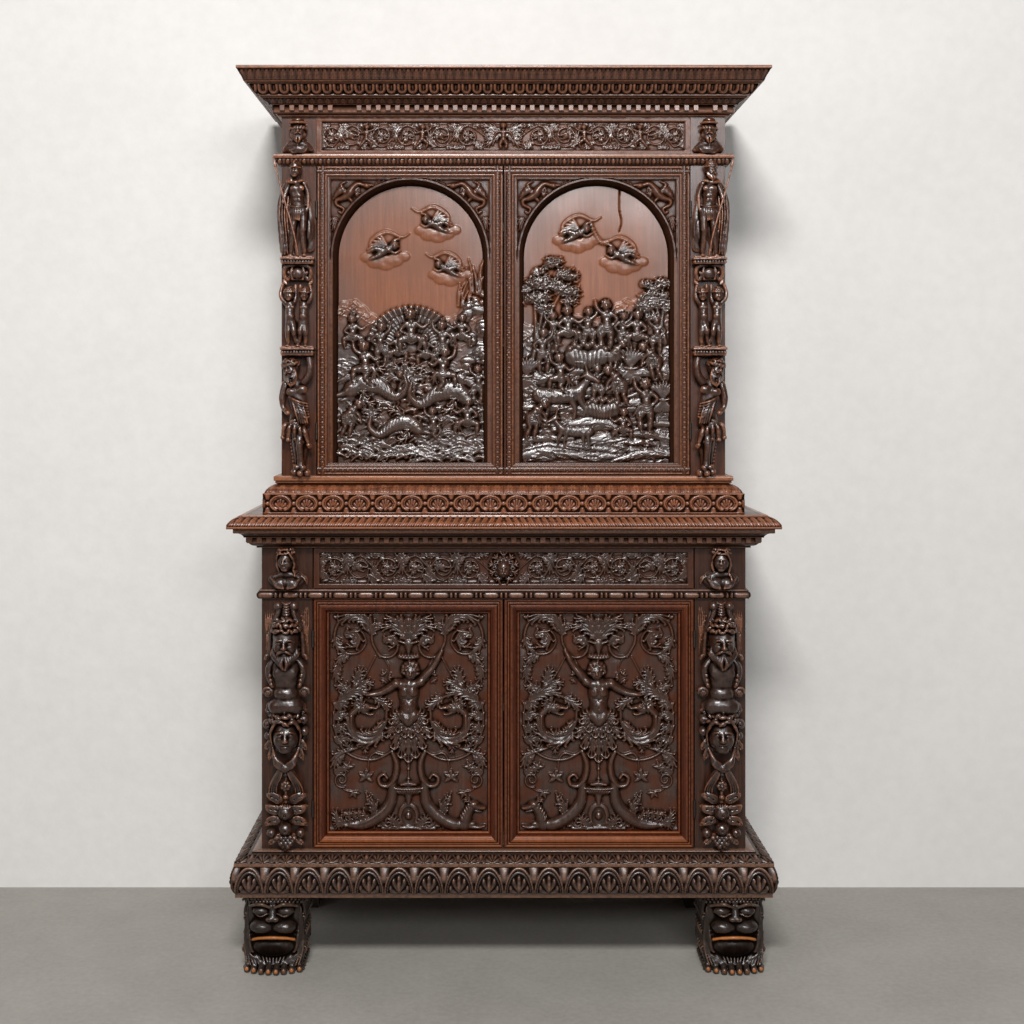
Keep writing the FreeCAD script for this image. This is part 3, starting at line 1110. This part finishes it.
def save_upper_case():
    inside = UPPER_HALF - SIDE_THICKNESS
    save("upper_bottom_board", box(-inside, inside, UPPER_FRONT_Y + UPPER_DOOR_THICKNESS + DOOR_STOP_GAP,
                                   BACK_Y - BACK_THICKNESS, Z_UPPER_CASE, Z_UPPER_CASE + BOARD_THICKNESS))
    save("upper_back", boarded_back(UPPER_HALF, Z_UPPER_CASE, Z_TOP - TOP_BOARD_THICKNESS))
    save("waist_moulding", waist())
    save("upper_ledge", ledge())
    save("cornice", cornice())
    save("top_board", box(-inside, inside, UPPER_FRONT_Y + SIDE_THICKNESS, BACK_Y,
                          Z_TOP - TOP_BOARD_THICKNESS, Z_TOP))
    half_field = UPPER_OPENING - FIELD_SIDE_MARGIN
    field = (-half_field, half_field, Z_FRIEZE + FIELD_TOP_MARGIN, Z_CORNICE - FIELD_TOP_MARGIN)
    save("frieze_board", carved_field(-UPPER_OPENING, UPPER_OPENING, UPPER_FRONT_Y, Z_LEDGE, Z_CORNICE,
                                      PILASTER_THICKNESS, [field]))
    figure_foot = Z_LEDGE - CARVING_GAP - UPPER_FIGURE_HEIGHT
    cherub_foot = figure_foot - CAPITAL_HEIGHT - SCROLL_HEIGHT - CHERUB_HEIGHT
    for side, name in ((-1, "left"), (1, "right")):
        outer = side * UPPER_HALF
        save("upper_side_" + name, framed_side(side, UPPER_HALF, UPPER_FRONT_Y, Z_UPPER_CASE, Z_CORNICE))
        save("upper_pilaster_" + name, box(outer, outer - side * UPPER_PILASTER_WIDTH, UPPER_FRONT_Y,
                                           UPPER_FRONT_Y + PILASTER_THICKNESS, Z_UPPER_CASE, Z_CORNICE))
        save("standing_figure_" + name, standing_figure(side, figure_foot))
        save("cherub_pair_" + name, cherub_pair(side, cherub_foot))
        save("bearded_term_" + name, bearded_term(side, Z_UPPER_CASE + CARVING_GAP, cherub_foot))
        middle = side * (UPPER_HALF - UPPER_PILASTER_WIDTH / 2)
        save("upper_bust_" + name, bust(middle, UPPER_FRONT_Y, Z_FRIEZE + CARVING_GAP, UPPER_BUST_WIDTH,
                                        FRIEZE_HEIGHT - 2 * CARVING_GAP, UPPER_BUST_DEPTH))


def save_shelves():
    lower_inside = LOWER_HALF - SIDE_THICKNESS
    upper_inside = UPPER_HALF - SIDE_THICKNESS
    lower_floor = Z_LOWER_CASE + BOARD_THICKNESS
    upper_floor = Z_UPPER_CASE + BOARD_THICKNESS
    back = BACK_Y - BACK_THICKNESS
    shelves = []
    bearers = []
    places = [(lower_inside, LOWER_FRONT_Y, lower_floor + LOWER_SHELF_RISE),
              (upper_inside, UPPER_FRONT_Y, upper_floor + UPPER_SHELF_RISE),
              (upper_inside, UPPER_FRONT_Y, upper_floor + UPPER_SHELF_RISE + UPPER_SHELF_SPACING)]
    for inside, front_y, z in places:
        front = front_y + SHELF_FRONT_SETBACK
        shelves.append(box(-inside, inside, front, back, z, z + BOARD_THICKNESS))
        for side in (-1, 1):
            bearers.append(box(side * inside, side * (inside - BEARER_SIZE), front, back, z - BEARER_SIZE, z))
    for side in (-1, 1):
        guide = side * LOWER_OPENING
        bearers.append(box(guide, guide + side * BEARER_SIZE, LOWER_FRONT_Y + PILASTER_THICKNESS, back,
                           Z_DRAWER, Z_DRAWER + BEARER_SIZE))
    save("shelves", shelves)
    save("bearers", bearers)


def save_drawer():
    half = LOWER_OPENING - DRAWER_SIDE_GAP
    z0 = Z_DRAWER + DRAWER_TOP_GAP
    z1 = Z_BED - DRAWER_TOP_GAP
    half_field = half - FIELD_SIDE_MARGIN
    field = (-half_field, half_field, z0 + FIELD_TOP_MARGIN, z1 - FIELD_TOP_MARGIN)
    board = carved_field(-half, half, LOWER_FRONT_Y, z0, z1, DRAWER_FRONT_THICKNESS, [field])
    stations = [(0.0, 0.14, 0.5, 0), (0.18, 0.26, 0.74, 0), (0.42, 0.36, 0.95, 0), (0.62, 0.42, 0.86, 0),
                (0.84, 0.46, 0.7, 0), (1.0, 0.30, 0.5, 0)]
    mask = carved_form(0, LOWER_FRONT_Y + FIELD_RECESS, field[2], stations, PULL_MASK_WIDTH,
                       field[3] - field[2], PULL_MASK_DEPTH)
    save("drawer_front", clean(board.fuse(mask)))
    front = LOWER_FRONT_Y + DRAWER_FRONT_THICKNESS
    back = front + DRAWER_BOX_LENGTH
    low = Z_DRAWER + DRAWER_TOP_GAP / 2
    floor = low + DRAWER_BOTTOM
    high = low + DRAWER_BOX_HEIGHT
    inner = half - DRAWER_WALL
    solids = [box(-half, half, front, back, low, floor)]
    for side in (-1, 1):
        solids.append(box(side * inner, side * half, front, back, floor, high))
    solids.append(box(-inner, inner, back - DRAWER_WALL, back, floor, high))
    save("drawer_box", solids)


def save_doors():
    case_leaves = []
    for level, opening, face, z, zone, thickness, hinge_inset, key_inset in (
            ("upper", UPPER_OPENING, UPPER_FRONT_Y, Z_UPPER_CASE, UPPER_DOOR_ZONE, UPPER_DOOR_THICKNESS,
             UPPER_HINGE_INSET, UPPER_KEYHOLE_INSET),
            ("lower", LOWER_OPENING, LOWER_FRONT_Y, Z_LOWER_CASE, LOWER_DOOR_ZONE, LOWER_DOOR_THICKNESS,
             LOWER_HINGE_INSET, LOWER_KEYHOLE_INSET)):
        middle = z + zone / 2
        lock, bolt, pocket, mortise = lock_parts(face, thickness, middle)
        keyhole = keyhole_cut(key_inset, face, thickness - LOCK_THICKNESS, middle)
        save(level + "_lock", lock)
        save(level + "_lock_bolt", bolt)
        for side, name in ((-1, "left"), (1, "right")):
            rect = door_rect(side, opening, z, zone)
            frame = upper_frame(rect) if level == "upper" else lower_frame(rect)
            frame = cut_each(frame, [pocket, keyhole] if side > 0 else [mortise])
            door = level + "_door_"
            if level == "upper":
                spandrel = spandrel_board(rect)
                panel = sea_panel(rect) if side < 0 else harvest_panel(rect)
                if side > 0:
                    frame.append(astragal(rect))
                save(door + "spandrel_" + name, spandrel)
            else:
                panel = lower_panel(rect)
            save(door + "frame_" + name, frame)
            save(door + "panel_" + name, panel)
            hinges = door_hinges(side, opening, face, z, z + zone, hinge_inset)
            save(door + "hinge_leaves_" + name, [hinge[2] for hinge in hinges])
            for hinge in hinges:
                case_leaves += [hinge[0], hinge[1]]
    save("hinge_case_leaves", case_leaves)


def astragal(rect):
    """The bead strip on the meeting edge of the right-hand upper door."""
    x0 = rect[0] - ASTRAGAL_COVER
    x1 = x0 + ASTRAGAL_WIDTH
    face = UPPER_FRONT_Y
    steps = [(x0, face), ((x0 + x1) / 2, face - ASTRAGAL_RISE, x1, face)]
    strip = outline_face(steps, lambda x, y: vector(x, y, rect[2]))
    return strip.extrude(vector(0, 0, rect[3] - rect[2]))


os.makedirs("parts", exist_ok=True)
save_lower_case()
save_upper_case()
save_shelves()
save_drawer()
save_doors()
